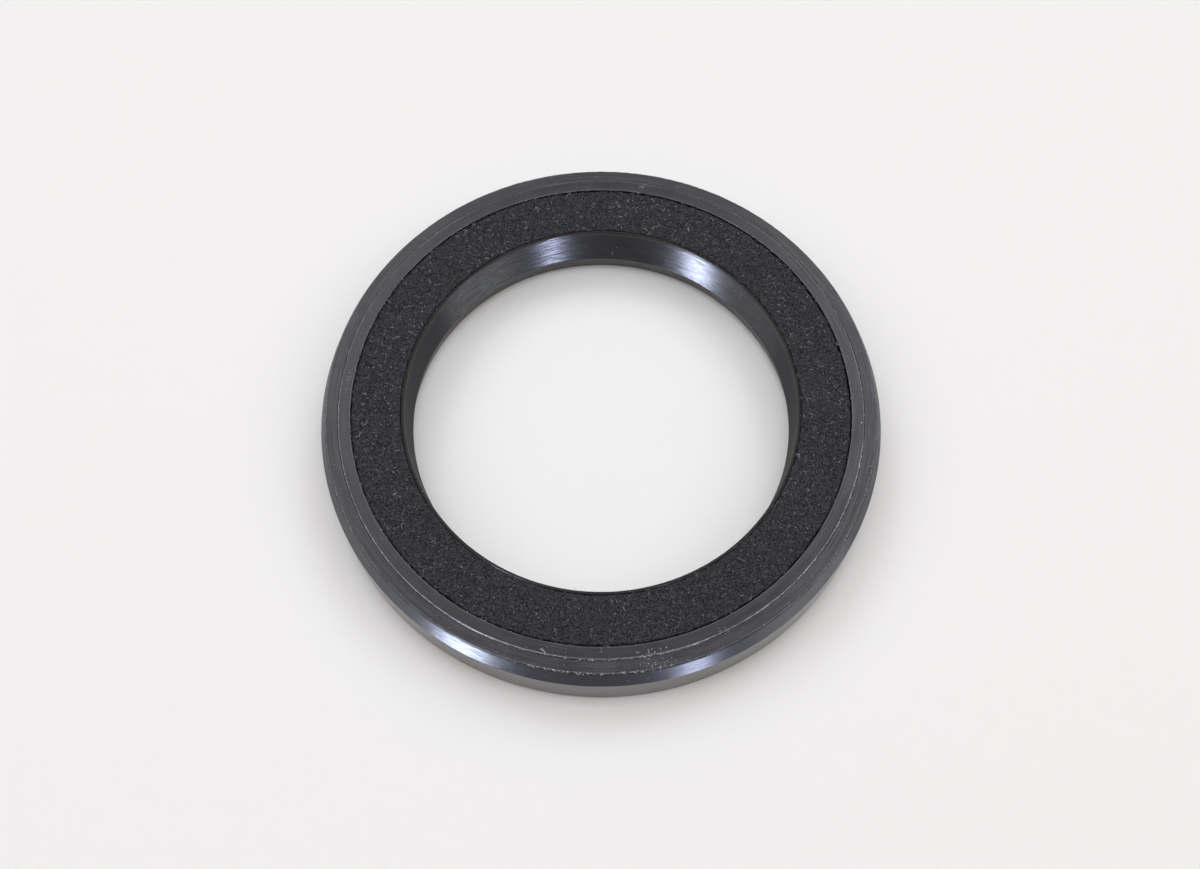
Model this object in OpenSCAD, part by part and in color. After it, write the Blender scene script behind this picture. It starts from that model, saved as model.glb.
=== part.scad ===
// Crankshaft oil seal with a felt dust ring, lying on its oil side.
// The shaft axis is Z and the oil side rests at z = 0, so the felt faces up.

/* [Fit] */
// Diameter of the crankshaft journal that the lip runs on
shaft_d = 70; // [66:0.5:74]
// Diameter of the housing bore that the outer wall is pressed into
bore_d = 100; // [97:0.5:110]
// How much larger than the bore the free outer wall is, across the diameter
press_squeeze = 0.4; // [0.2:0.05:0.6]
// How much smaller than the shaft the free sealing edge is, across the diameter
lip_squeeze = 1.4; // [0.8:0.1:2.2]
// Width of the seal along the shaft
seal_w = 12; // [11:0.1:15]

/* [Outer wall] */
// Height of the long taper at the air side
taper_h = 3.5; // [2:0.1:4.5]
// How far the long taper leans in, trimmed strip included
taper_in = 1.35; // [0.8:0.05:1.8]
// Height of the trimmed strip at the top of the taper
trim_h = 0.45; // [0.3:0.05:0.8]
// How far the trimmed strip leans in
trim_in = 0.25; // [0.1:0.05:0.4]
// Chamfer where the outer wall meets the oil side
foot_chamfer = 0.4; // [0.2:0.05:0.8]

/* [Air side lands] */
// Width of the land beside the taper
outer_land_w = 2.1; // [1.5:0.1:3]
// Width of the V groove between the two lands
vee_w = 0.4; // [0.2:0.05:0.7]
// Depth of the V groove below the outer land
vee_depth = 0.15; // [0.1:0.05:0.4]
// Width of the land beside the felt
inner_land_w = 1.9; // [1.2:0.1:3]
// How far the inner land stands above the outer land
land_step = 0.28; // [0.1:0.02:0.5]

/* [Felt ring] */
// Thickness of the felt
felt_h = 2.9; // [2:0.1:3.5]
// How far the felt lies below the inner land
felt_sink = 0.05; // [0:0.05:0.5]
// Gap between the felt and the wall around it
felt_gap = 0.28; // [0.1:0.02:0.6]
// Clearance between the felt and the rim inside it
felt_rim_gap = 0.12; // [0.04:0.02:0.3]
// Rounding of the upper edges of the felt
felt_edge_r = 0.3; // [0.1:0.05:0.6]

/* [Sealing lip] */
// Clearance on each side between the shaft and the mouth of the sleeve
throat_gap = 0.05; // [0:0.05:0.6]
// Thickness of the rim between the sleeve mouth and the felt
rim_w = 0.45; // [0.3:0.05:0.7]
// How far the rim lies below the inner land
rim_sink = 0.1; // [0:0.05:0.5]
// Height of the trimmed strip at the sleeve mouth
mouth_h = 0.55; // [0.3:0.05:1]
// How far the trimmed strip at the sleeve mouth leans in
mouth_in = 0.12; // [0.05:0.01:0.2]
// Height of the narrow band that touches the shaft
lip_band = 0.4; // [0.2:0.05:0.8]
// How far the lip flares out from the band to its nose
nose_flare = 0.75; // [0.4:0.05:1.2]
// Width of the flat end of the nose
nose_w = 1.2; // [0.8:0.1:1.8]
// Height of the nose above the oil side
nose_lift = 0.2; // [0.1:0.05:0.6]
// Thickness of the neck that lets the lip flex
neck_w = 1.2; // [0.8:0.1:1.6]
// Length of the neck between the spring collar and the web
neck_h = 0.95; // [0.6:0.05:1.6]

/* [Garter spring] */
// Diameter of the spring's coil
spring_d = 2.2; // [1.8:0.1:2.6]
// Rubber between the sealing band and the spring
spring_wall = 2; // [1.6:0.1:2.6]
// How far the spring lies to the air side of the sealing band
spring_offset = 0.6; // [0.2:0.1:1]
// Clearance of the groove around the spring
spring_play = 0.04; // [0.02:0.01:0.1]
// Thickness of the collar on each side of the groove
collar_h = 0.45; // [0.3:0.05:0.7]
// How far the collars reach past the middle of the spring
collar_reach = 0.2; // [0:0.05:0.4]

/* [Steel case] */
// Thickness of the sheet
case_t = 1; // [0.7:0.1:1.4]
// Inside radius of the bend
case_bend_r = 0.8; // [0.4:0.1:1.2]
// Rubber between the case and the outer wall
wall_cover = 2; // [1.2:0.1:2.4]
// Rubber under the free edge of the case
foot_cover = 1; // [0.6:0.1:2]
// Rubber between the flange and the felt
flange_cover = 0.6; // [0.4:0.1:1.2]
// Distance from the rim's outside to the inner edge of the flange
flange_setback = 3.3; // [2.6:0.1:4]
// How far the web wraps under the inner edge of the flange
web_wrap = 1.4; // [0.8:0.1:2]
// Thickness of the web under the flange
web_h = 0.4; // [0.2:0.05:0.8]

/* [Hidden] */
$fn = 240;

// Radii from the outer wall inwards
seal_r = (bore_d + press_squeeze) / 2;
land_r = seal_r - taper_in;
vee_outer_r = land_r - outer_land_w;
vee_inner_r = vee_outer_r - vee_w;
pocket_r = vee_inner_r - inner_land_w;
case_outer_r = seal_r - wall_cover;
case_inner_r = case_outer_r - case_t;
case_mid_r = case_outer_r - case_t / 2;

// Radii from the shaft outwards
throat_r = shaft_d / 2 + throat_gap;
rim_r = throat_r + rim_w;
lip_r = (shaft_d - lip_squeeze) / 2;
spring_r = lip_r + spring_wall + spring_d / 2;
groove_r = spring_d / 2 + spring_play;
collar_r = spring_r + collar_reach;
nose_inner_r = lip_r + nose_flare;
neck_r = throat_r + neck_w;
flange_r = rim_r + flange_setback;
web_r = flange_r + web_wrap;

// Levels from the air side down
outer_land_z = seal_w - land_step;
taper_z = outer_land_z - taper_h;
rim_z = seal_w - rim_sink;
felt_top_z = seal_w - felt_sink;
pocket_z = felt_top_z - felt_h;
flange_top_z = pocket_z - flange_cover;
flange_z = flange_top_z - case_t;
flange_mid_z = flange_top_z - case_t / 2;
web_z = flange_z - web_h;
collar_top_z = web_z - neck_h;
spring_z = collar_top_z - collar_h - groove_r;
collar_foot_z = spring_z - groove_r - collar_h;
lip_z = spring_z - spring_offset;

// Half of the moulding's section, with the space for the case still filled
module moulding_section() {
    polygon([
        [case_inner_r, 0],
        [seal_r - foot_chamfer, 0],
        [seal_r, foot_chamfer],
        [seal_r, taper_z],
        [land_r + trim_in, outer_land_z - trim_h],
        [land_r, outer_land_z],
        [vee_outer_r, outer_land_z],
        [vee_outer_r - vee_w / 3, outer_land_z - vee_depth],
        [vee_inner_r, seal_w],
        [pocket_r, seal_w],
        [pocket_r, pocket_z],
        [rim_r, pocket_z],
        [rim_r, rim_z],
        [throat_r, rim_z],
        [throat_r - mouth_in, rim_z - mouth_h],
        [lip_r, lip_z + lip_band / 2],
        [lip_r, lip_z - lip_band / 2],
        [nose_inner_r, nose_lift],
        [nose_inner_r + nose_w, nose_lift],
        [collar_r, collar_foot_z],
        [collar_r, web_z],
        [web_r - web_h, web_z],
        [web_r, flange_z],
        [web_r, flange_mid_z],
        [case_mid_r, flange_mid_z],
        [case_mid_r, foot_cover],
        [case_inner_r, foot_cover]
    ]);
}

// Round-ended slot that thins the lip to its neck
module neck_slot() {
    end_r = neck_h / 2;
    translate([neck_r + end_r, collar_top_z + end_r]) circle(r = end_r);
    translate([neck_r + end_r, collar_top_z]) square([collar_r - neck_r, neck_h]);
}

// Groove that holds the spring, open towards the case
module spring_groove() {
    translate([spring_r, spring_z]) circle(r = groove_r);
    translate([spring_r, spring_z - groove_r]) square([spring_d, 2 * groove_r]);
}

// L section of the pressed case, wall down and flange in
module case_section() {
    bend_x = case_inner_r - case_bend_r;
    bend_z = flange_z - case_bend_r;
    outer_bend_r = case_bend_r + case_t;
    translate([case_inner_r, foot_cover]) square([case_t, bend_z - foot_cover]);
    translate([flange_r, flange_z]) square([bend_x - flange_r, case_t]);
    intersection() {
        translate([bend_x, bend_z]) difference() {
            circle(r = outer_bend_r);
            circle(r = case_bend_r);
        }
        translate([bend_x, bend_z]) square(outer_bend_r);
    }
}

// Felt strip's section, with its upper edges rounded
module felt_section() {
    felt_inner_r = rim_r + felt_rim_gap;
    felt_outer_r = pocket_r - felt_gap;
    felt_w = felt_outer_r - felt_inner_r;
    translate([felt_inner_r, pocket_z]) square([felt_w, felt_h - felt_edge_r]);
    translate([felt_inner_r + felt_edge_r, pocket_z]) square([felt_w - 2 * felt_edge_r, felt_h]);
    for (edge_r = [felt_inner_r + felt_edge_r, felt_outer_r - felt_edge_r])
        translate([edge_r, felt_top_z - felt_edge_r]) circle(r = felt_edge_r);
}

module rubber_body() {
    color("#2c2c30") rotate_extrude() difference() {
        moulding_section();
        neck_slot();
        spring_groove();
        case_section();
    }
}

module steel_case() {
    color("#5b5d5f") rotate_extrude() case_section();
}

module garter_spring() {
    color("#b4b4b0") rotate_extrude() translate([spring_r, spring_z]) circle(d = spring_d);
}

module felt_ring() {
    color("#1b1c1e") rotate_extrude() felt_section();
}

rubber_body();
steel_case();
garter_spring();
felt_ring();
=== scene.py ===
import math

import bpy
import numpy as np
from mathutils import Matrix, Vector


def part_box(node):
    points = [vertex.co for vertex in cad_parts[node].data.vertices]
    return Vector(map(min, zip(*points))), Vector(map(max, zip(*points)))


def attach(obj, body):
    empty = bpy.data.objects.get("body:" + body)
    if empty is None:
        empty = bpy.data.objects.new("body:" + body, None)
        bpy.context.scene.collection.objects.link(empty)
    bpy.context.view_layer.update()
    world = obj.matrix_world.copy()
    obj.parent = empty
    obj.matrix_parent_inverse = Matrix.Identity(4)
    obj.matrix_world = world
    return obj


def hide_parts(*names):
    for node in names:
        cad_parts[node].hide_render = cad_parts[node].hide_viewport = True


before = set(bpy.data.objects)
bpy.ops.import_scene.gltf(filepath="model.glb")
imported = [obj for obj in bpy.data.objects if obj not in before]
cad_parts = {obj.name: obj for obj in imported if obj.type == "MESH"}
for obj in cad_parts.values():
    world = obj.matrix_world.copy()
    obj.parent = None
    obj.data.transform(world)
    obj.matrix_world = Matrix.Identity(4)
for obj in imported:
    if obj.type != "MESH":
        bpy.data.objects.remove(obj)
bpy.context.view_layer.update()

MM = 0.001
SEED = 7

# Sizes that the frame gives, in metres
rubber_low, rubber_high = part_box("rubber_body")
felt_low, felt_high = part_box("felt_ring")
case_low, case_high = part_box("steel_case")
spring_low, spring_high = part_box("garter_spring")
SEAL_R = rubber_high.x
SEAL_W = rubber_high.z
FELT_OUTER_R = felt_high.x
FELT_TOP_Z = felt_high.z
POCKET_Z = felt_low.z
CASE_OUTER_R = case_high.x
CASE_FOOT_Z = case_low.z
FLANGE_TOP_Z = case_high.z
SPRING_D = spring_high.z - spring_low.z
SPRING_R = spring_high.x - SPRING_D / 2
SPRING_Z = (spring_high.z + spring_low.z) / 2

# Outer wall and lands
TAPER_H = 3.5 * MM
TAPER_IN = 1.35 * MM
TRIM_H = 0.45 * MM
TRIM_IN = 0.25 * MM
FOOT_CHAMFER = 0.4 * MM
OUTER_LAND_W = 2.1 * MM
VEE_W = 0.4 * MM
INNER_LAND_W = 1.9 * MM
LAND_STEP = 0.28 * MM
LAND_R = SEAL_R - TAPER_IN
LAND_Z = SEAL_W - LAND_STEP
TAPER_Z = LAND_Z - TAPER_H
VEE_OUTER_R = LAND_R - OUTER_LAND_W
VEE_INNER_R = VEE_OUTER_R - VEE_W
POCKET_R = VEE_INNER_R - INNER_LAND_W

# Sleeve and sealing lip
THROAT_R = 35.05 * MM
RIM_W = 0.45 * MM
RIM_SINK = 0.1 * MM
MOUTH_IN = 0.12 * MM
STRIP_TOP = 0.42 * MM
STRIP_FOOT = 0.58 * MM
STRIP_IN = 0.09 * MM
LIP_R = 34.3 * MM
LIP_BAND = 0.4 * MM
LIP_BELOW_SPRING = 0.6 * MM
NOSE_FLARE = 0.75 * MM
NOSE_W = 1.2 * MM
NOSE_LIFT = 0.2 * MM
NECK_W = 1.2 * MM
NECK_H = 0.95 * MM
COLLAR_H = 0.45 * MM
COLLAR_REACH = 0.2 * MM
SPRING_PLAY = 0.04 * MM
RIM_R = THROAT_R + RIM_W
RIM_Z = SEAL_W - RIM_SINK
LIP_Z = SPRING_Z - LIP_BELOW_SPRING
GROOVE_R = SPRING_D / 2 + SPRING_PLAY
COLLAR_R = SPRING_R + COLLAR_REACH
COLLAR_TOP_Z = SPRING_Z + GROOVE_R + COLLAR_H
COLLAR_FOOT_Z = SPRING_Z - GROOVE_R - COLLAR_H
NECK_R = THROAT_R + NECK_W

# Felt, steel case and web
FELT_RIM_GAP = 0.12 * MM
FELT_EDGE_R = 0.3 * MM
FELT_INNER_R = RIM_R + FELT_RIM_GAP
CASE_T = 1.0 * MM
CASE_BEND_R = 0.8 * MM
FLANGE_SETBACK = 3.3 * MM
WEB_WRAP = 1.4 * MM
WEB_H = 0.4 * MM
CASE_INNER_R = CASE_OUTER_R - CASE_T
FLANGE_R = RIM_R + FLANGE_SETBACK
FLANGE_Z = FLANGE_TOP_Z - CASE_T
WEB_R = FLANGE_R + WEB_WRAP
WEB_Z = FLANGE_Z - WEB_H
BEND_R = CASE_INNER_R - CASE_BEND_R
BEND_Z = FLANGE_Z - CASE_BEND_R

# Garter spring's wire
WIRE_D = 0.5 * MM
COIL_TURNS = 470
COIL_STEPS = 10
WIRE_SIDES = 5

# Loose fibres, with the shares of them up to which they are dark, dim or grey
FIBRE_COUNT = 7600
FIBRE_SIDES = 3
FIBRE_STEPS = 4
FIBRE_ARCH = 0.12
TONE_SHARES = (0.54, 0.84, 0.955)
FELT_MIDDLE_R = 40.3 * MM
SOFT_EDGE = 0.25 * MM

# Mesh finish
RING_SEGMENTS = 520
FELT_SEGMENTS = 840
FILLET_STEPS = 4
GUARD = 0.1 * MM
FELT_STEP = 0.3 * MM
SHARP_ANGLE = math.radians(35)
RUBBER_RAGGED = (0.22 * MM, 1100.0)
FELT_RAGGED = (0.28 * MM, 700.0)

# Where the finishes change: radii and heights in mm, and in metres the right side where the land lines get a
# painted sheen
INSIDE_MM = (40.0, 42.0)
LAND_EDGE_MM = (46.3, 46.7)
WALL_MM = (49.0, 49.6)
RIM_TOP_MM = (11.5, 11.8)
SHEEN_RIGHT_X = (0.024, 0.038)

# Colours in linear red, green and blue
RUBBER_DARK = (0.0174, 0.0172, 0.0208)
RUBBER_LIGHT = (0.0252, 0.0249, 0.0298)
RUBBER_LINE = (0.052, 0.051, 0.057)
# Pale of wear on trimmed edges, which along the V step is also a painted highlight
PALE_WEAR_AND_GLINT = (0.6, 0.6, 0.61)
DUST_GREY = (0.4, 0.4, 0.39)
# Warm brown on the outer wall and the nose: a painted reflection of the floor
WALL_FLOOR_REFLECTION = (0.085, 0.075, 0.066)
WALL_SPECK = (0.36, 0.34, 0.32)
# Blue of the turned outer faces: a painted reflection of the bluish lamps
GROUND_BLUE_REFLECTION = (0.0155, 0.0165, 0.028)
RIM_BROWN = (0.026, 0.0225, 0.019)
MOULDED_TINT = (0.95, 0.95, 1.0, 1.0)
GROUND_TINT = (0.76, 0.82, 1.0, 1.0)
# Near black of the felt's hollows: painted shade
FELT_HOLLOW_SHADE = (0.004, 0.0042, 0.0053)
FELT_LIGHT = (0.046, 0.0479, 0.0555)
FELT_THREAD = (0.1, 0.1045, 0.118)
FIBRE_DARK = (0.026, 0.0272, 0.0315)
FIBRE_PALE = (0.48, 0.5, 0.545)
FIBRE_SHADE = (0.03, 0.0315, 0.036)
CASE_DARK = (0.13, 0.13, 0.135)
CASE_LIGHT = (0.2, 0.2, 0.205)
WIRE_DARK = (0.45, 0.44, 0.42)
WIRE_LIGHT = (0.62, 0.62, 0.6)
CRUMB_DARK = (0.12, 0.12, 0.122)
CRUMB_PALE = (0.75, 0.75, 0.75)
CRUMB_SHADE = (0.2, 0.2, 0.2)


# Node helpers
def put(tree, kind, settings=None, inputs=None):
    """Adds a node, sets its properties and fills its inputs with values or links."""
    made = tree.nodes.new(kind)
    for name, value in (settings or {}).items():
        setattr(made, name, value)
    for key, value in (inputs or {}).items():
        if isinstance(value, bpy.types.NodeSocket):
            tree.links.new(value, made.inputs[key])
        else:
            made.inputs[key].default_value = value
    return made


def maths(tree, operation, first, second=0.0, clamp=False):
    """A Math node's result."""
    made = put(tree, "ShaderNodeMath", {"operation": operation, "use_clamp": clamp}, {0: first, 1: second})
    return made.outputs[0]


def times(tree, first, second):
    """The product of two values."""
    return maths(tree, "MULTIPLY", first, second)


def plus(tree, first, second, clamp=False):
    """The sum of two values, kept between 0 and 1 where clamp is True."""
    return maths(tree, "ADD", first, second, clamp)


def minus(tree, first, second):
    """The first value less the second."""
    return maths(tree, "SUBTRACT", first, second)


def vectors(tree, operation, first, second=(0.0, 0.0, 0.0)):
    """A Vector Math node's vector result."""
    made = put(tree, "ShaderNodeVectorMath", {"operation": operation}, {0: first, 1: second})
    return made.outputs["Vector"]


def scaled(tree, vector, amount):
    """A vector times a number."""
    made = put(tree, "ShaderNodeVectorMath", {"operation": "SCALE"}, {"Vector": vector, "Scale": amount})
    return made.outputs["Vector"]


def parts_of(tree, vector):
    """The X, Y and Z of a vector."""
    return put(tree, "ShaderNodeSeparateXYZ", None, {0: vector}).outputs


def group(tree, inner, inputs):
    """The outputs of a shader group."""
    return put(tree, "ShaderNodeGroup", {"node_tree": inner}, inputs).outputs


def between(tree, value, low, high, out_low=0.0, out_high=1.0):
    """A value carried smoothly from one range to another."""
    made = put(
        tree,
        "ShaderNodeMapRange",
        {"interpolation_type": "SMOOTHSTEP"},
        {"Value": value, "From Min": low, "From Max": high, "To Min": out_low, "To Max": out_high},
    )
    return made.outputs["Result"]


def noise(tree, vector, scale, detail=2.0, rough=0.5, twist=0.0):
    """A noise value at a vector."""
    made = put(
        tree,
        "ShaderNodeTexNoise",
        {"noise_dimensions": "3D"},
        {"Vector": vector, "Scale": scale, "Detail": detail, "Roughness": rough, "Distortion": twist},
    )
    return made.outputs[0]


def new_group(name, kind, sockets_in, sockets_out):
    """A node group with named inputs (name, type, default) and outputs (name, type)."""
    tree = bpy.data.node_groups.new(name, kind)
    for label, socket_type, default in sockets_in:
        made = tree.interface.new_socket(name=label, in_out="INPUT", socket_type=socket_type)
        if default is not None:
            made.default_value = default
    for label, socket_type in sockets_out:
        tree.interface.new_socket(name=label, in_out="OUTPUT", socket_type=socket_type)
    source = tree.nodes.new("NodeGroupInput")
    target = tree.nodes.new("NodeGroupOutput")
    return tree, source.outputs, target.inputs


def named(tree, name, data_type="FLOAT"):
    """A named attribute inside a geometry tree."""
    made = put(tree, "GeometryNodeInputNamedAttribute", {"data_type": data_type}, {"Name": name})
    return made.outputs["Attribute"]


# Geometry trees
def circle_curve(tree, count, radius):
    """A circle of straight steps."""
    made = put(tree, "GeometryNodeCurvePrimitiveCircle", None, {"Resolution": count, "Radius": radius})
    return made.outputs["Curve"]


def swept(tree, path, profile):
    """A profile carried along a path."""
    made = put(tree, "GeometryNodeCurveToMesh", None, {"Curve": path, "Profile Curve": profile})
    return made.outputs["Mesh"]


def plain_shape(tree, shape, material, smooth=True):
    """A shape realised as a plain mesh, shaded smooth where asked, and painted."""
    shape = put(tree, "GeometryNodeRealizeInstances", None, {"Geometry": shape}).outputs["Geometry"]
    if smooth:
        shape = put(tree, "GeometryNodeSetShadeSmooth", None, {"Geometry": shape}).outputs["Geometry"]
    made = put(tree, "GeometryNodeSetMaterial", None, {"Geometry": shape, "Material": material})
    return made.outputs["Geometry"]


def turned_ring_tree():
    """Sweeps a section round the shaft axis and roughens it where the section says so."""
    tree, given, result = new_group(
        "Turned ring",
        "GeometryNodeTree",
        [
            ("Geometry", "NodeSocketGeometry", None),
            ("Segments", "NodeSocketInt", 360),
            ("Path Radius", "NodeSocketFloat", 0.05),
            ("Ragged Depth", "NodeSocketFloat", 0.0),
            ("Ragged Scale", "NodeSocketFloat", 1000.0),
            ("Material", "NodeSocketMaterial", None),
            ("Turned Material", "NodeSocketMaterial", None),
        ],
        [("Geometry", "NodeSocketGeometry")],
    )
    section = put(tree, "GeometryNodeMeshToCurve", None, {"Mesh": given["Geometry"]}).outputs["Curve"]
    circle = circle_curve(tree, given["Segments"], given["Path Radius"])
    path = put(tree, "GeometryNodeSetCurveNormal", {"mode": "Z_UP"}, {"Curve": circle}).outputs[0]
    place = put(tree, "GeometryNodeInputPosition").outputs["Position"]
    rough = noise(tree, place, given["Ragged Scale"], 3.0, 0.6)
    swing = times(tree, minus(tree, rough, 0.5), given["Ragged Depth"])
    push = times(tree, swing, named(tree, "ragged"))
    outward = put(tree, "GeometryNodeInputNormal").outputs["Normal"]
    moved = put(
        tree,
        "GeometryNodeSetPosition",
        None,
        {"Geometry": swept(tree, path, section), "Offset": scaled(tree, outward, push)},
    )
    moulded = plain_shape(tree, moved.outputs["Geometry"], given["Material"])
    ground = put(
        tree,
        "FunctionNodeCompare",
        {"data_type": "FLOAT", "operation": "GREATER_THAN"},
        {0: named(tree, "turned"), 1: 0.5},
    )
    finished = put(
        tree,
        "GeometryNodeSetMaterial",
        None,
        {"Geometry": moulded, "Selection": ground.outputs[0], "Material": given["Turned Material"]},
    )
    tree.links.new(finished.outputs["Geometry"], result["Geometry"])
    return tree


def wound_coil_tree():
    """Winds a wire in a closed ring of turns."""
    tree, given, result = new_group(
        "Wound coil",
        "GeometryNodeTree",
        [
            ("Geometry", "NodeSocketGeometry", None),
            ("Turns", "NodeSocketInt", 100),
            ("Steps", "NodeSocketInt", 10),
            ("Ring Radius", "NodeSocketFloat", 0.04),
            ("Coil Radius", "NodeSocketFloat", 0.001),
            ("Height", "NodeSocketFloat", 0.0),
            ("Wire Radius", "NodeSocketFloat", 0.0002),
            ("Material", "NodeSocketMaterial", None),
        ],
        [("Geometry", "NodeSocketGeometry")],
    )
    count = times(tree, given["Turns"], given["Steps"])
    circle = circle_curve(tree, count, given["Ring Radius"])
    index = put(tree, "GeometryNodeInputIndex").outputs["Index"]
    turn = times(tree, maths(tree, "DIVIDE", index, count), 2 * math.pi)
    twist = times(tree, turn, given["Turns"])
    reach = times(tree, maths(tree, "COSINE", twist), given["Coil Radius"])
    radius = plus(tree, given["Ring Radius"], reach)
    rise = times(tree, maths(tree, "SINE", twist), given["Coil Radius"])
    point = put(
        tree,
        "ShaderNodeCombineXYZ",
        None,
        {
            "X": times(tree, radius, maths(tree, "COSINE", turn)),
            "Y": times(tree, radius, maths(tree, "SINE", turn)),
            "Z": plus(tree, given["Height"], rise),
        },
    )
    helix = put(
        tree,
        "GeometryNodeSetPosition",
        None,
        {"Geometry": circle, "Position": point.outputs["Vector"]},
    )
    wire = circle_curve(tree, WIRE_SIDES, given["Wire Radius"])
    coil_shape = swept(tree, helix.outputs["Geometry"], wire)
    tree.links.new(plain_shape(tree, coil_shape, given["Material"]), result["Geometry"])
    return tree


def fibre_tree():
    """Lays short bent fibres at marked points, each with its own size, turn and tone."""
    tree, given, result = new_group(
        "Loose fibres",
        "GeometryNodeTree",
        [
            ("Geometry", "NodeSocketGeometry", None),
            ("Bend", "NodeSocketFloat", 0.3),
            ("Thickness", "NodeSocketFloat", 0.03),
            ("Material", "NodeSocketMaterial", None),
        ],
        [("Geometry", "NodeSocketGeometry")],
    )
    middle = put(tree, "ShaderNodeCombineXYZ", None, {"X": 0.0, "Y": given["Bend"], "Z": FIBRE_ARCH})
    bent = put(
        tree,
        "GeometryNodeCurveQuadraticBezier",
        None,
        {
            "Resolution": FIBRE_STEPS,
            "Start": (-0.5, 0.0, 0.0),
            "Middle": middle.outputs["Vector"],
            "End": (0.5, 0.0, 0.0),
        },
    )
    strand = circle_curve(tree, FIBRE_SIDES, given["Thickness"])
    return scatter_end(tree, given, result, swept(tree, bent.outputs["Curve"], strand))


def fleck_tree():
    """Sets small faceted flecks at marked points, each with its own size, turn and tone."""
    tree, given, result = new_group(
        "Flecks",
        "GeometryNodeTree",
        [("Geometry", "NodeSocketGeometry", None), ("Material", "NodeSocketMaterial", None)],
        [("Geometry", "NodeSocketGeometry")],
    )
    fleck = put(tree, "GeometryNodeMeshIcoSphere", None, {"Radius": 1.0, "Subdivisions": 1})
    return scatter_end(tree, given, result, fleck.outputs["Mesh"])


def scatter_end(tree, given, result, shape):
    """Copies a shape to every point by its size and turn, then makes one plain painted mesh."""
    cloud = put(tree, "GeometryNodeMeshToPoints", None, {"Mesh": given["Geometry"]})
    turn = put(tree, "FunctionNodeEulerToRotation", None, {0: named(tree, "turn", "FLOAT_VECTOR")})
    copies = put(
        tree,
        "GeometryNodeInstanceOnPoints",
        None,
        {
            "Points": cloud.outputs["Points"],
            "Instance": shape,
            "Rotation": turn.outputs[0],
            "Scale": named(tree, "size", "FLOAT_VECTOR"),
        },
    )
    painted = plain_shape(tree, copies.outputs["Instances"], given["Material"], smooth=False)
    tree.links.new(painted, result["Geometry"])
    return tree


def grown(name, seed_mesh, tree, values):
    """Runs a geometry tree on a mesh and returns the result as a plain mesh object at the origin."""
    piece = bpy.data.objects.new(name, seed_mesh)
    bpy.context.scene.collection.objects.link(piece)
    modifier = piece.modifiers.new("Shape", "NODES")
    modifier.node_group = tree
    for item in tree.interface.items_tree:
        if item.in_out == "INPUT" and item.name in values:
            modifier[item.identifier] = values[item.name]
    depsgraph = bpy.context.evaluated_depsgraph_get()
    mesh = bpy.data.meshes.new_from_object(
        piece.evaluated_get(depsgraph), preserve_all_data_layers=True, depsgraph=depsgraph
    )
    piece.modifiers.clear()
    piece.data = mesh
    mesh.name = name
    bpy.data.meshes.remove(seed_mesh)
    return piece


# Section outlines
def unit(vector):
    """A vector of length one."""
    return vector / np.linalg.norm(vector)


def arc(centre, radius, start, end, steps):
    """Plain corners on an arc, with angles in degrees."""
    rows = []
    for angle in np.radians(np.linspace(start, end, steps + 1)):
        rows.append((centre[0] + radius * math.cos(angle), centre[1] + radius * math.sin(angle)))
    return rows


def outline(corners, longest=None):
    """Points of a closed section from corners of (r, z, rounding, turned, worn, ragged).

    Turned is the finish of the edge that follows the corner, worn and ragged belong to the corner itself.
    """
    rows = [tuple(c) + (0.0,) * (6 - len(c)) for c in corners]
    out = []
    for k, (r, z, bend, turned, worn, ragged) in enumerate(rows):
        here = np.array([r, z])
        before = rows[k - 1]
        after = rows[(k + 1) % len(rows)]
        back = np.array(before[:2]) - here
        ahead = np.array(after[:2]) - here
        came = before[3]
        if bend <= 0:
            out.append((r, z, max(came, turned), worn, ragged))
            continue
        u, w = unit(back), unit(ahead)
        half = math.acos(max(-1.0, min(1.0, float(u @ w)))) / 2
        room = 0.45 * min(np.linalg.norm(back), np.linalg.norm(ahead))
        setback = min(bend / math.tan(half), room)
        radius = setback * math.tan(half)
        centre = here + unit(u + w) * radius / math.sin(half)
        start, end = here + u * setback - centre, here + w * setback - centre
        if np.linalg.norm(back) > 2 * setback + 2 * GUARD:
            out.append((*(here + u * (setback + GUARD)), came, 0.0, 0.5 * ragged))
        sweep = math.pi - 2 * half
        for step in range(FILLET_STEPS + 1):
            share = step / FILLET_STEPS
            rest = math.sin((1 - share) * sweep) / math.sin(sweep)
            point = centre + start * rest + end * math.sin(share * sweep) / math.sin(sweep)
            out.append((*point, came + (turned - came) * share, worn, ragged))
        if np.linalg.norm(ahead) > 2 * setback + 2 * GUARD:
            out.append((*(here + w * (setback + GUARD)), turned, 0.0, 0.5 * ragged))
    if longest is None:
        return np.array(out)
    fine = []
    for k, point in enumerate(np.array(out)):
        follow = np.array(out[(k + 1) % len(out)])
        parts = max(1, math.ceil(np.linalg.norm(follow[:2] - point[:2]) / longest))
        for part in range(parts):
            fine.append(point + (follow - point) * part / parts)
    return np.array(fine)


def section_mesh(name, rows):
    """A closed wire mesh of a section, drawn as the ring tree expects it, with its finish as attributes."""
    count = len(rows)
    verts = [(r - SEAL_R, -z, 0.0) for r, z in rows[:, :2]]
    edges = [(k, (k + 1) % count) for k in range(count)]
    mesh = bpy.data.meshes.new(name)
    mesh.from_pydata(verts, edges, [])
    for column, label in enumerate(("turned", "worn", "ragged"), start=2):
        layer = mesh.attributes.new(label, "FLOAT", "POINT")
        layer.data.foreach_set("value", rows[:, column].astype(np.float32))
    return mesh


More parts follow.
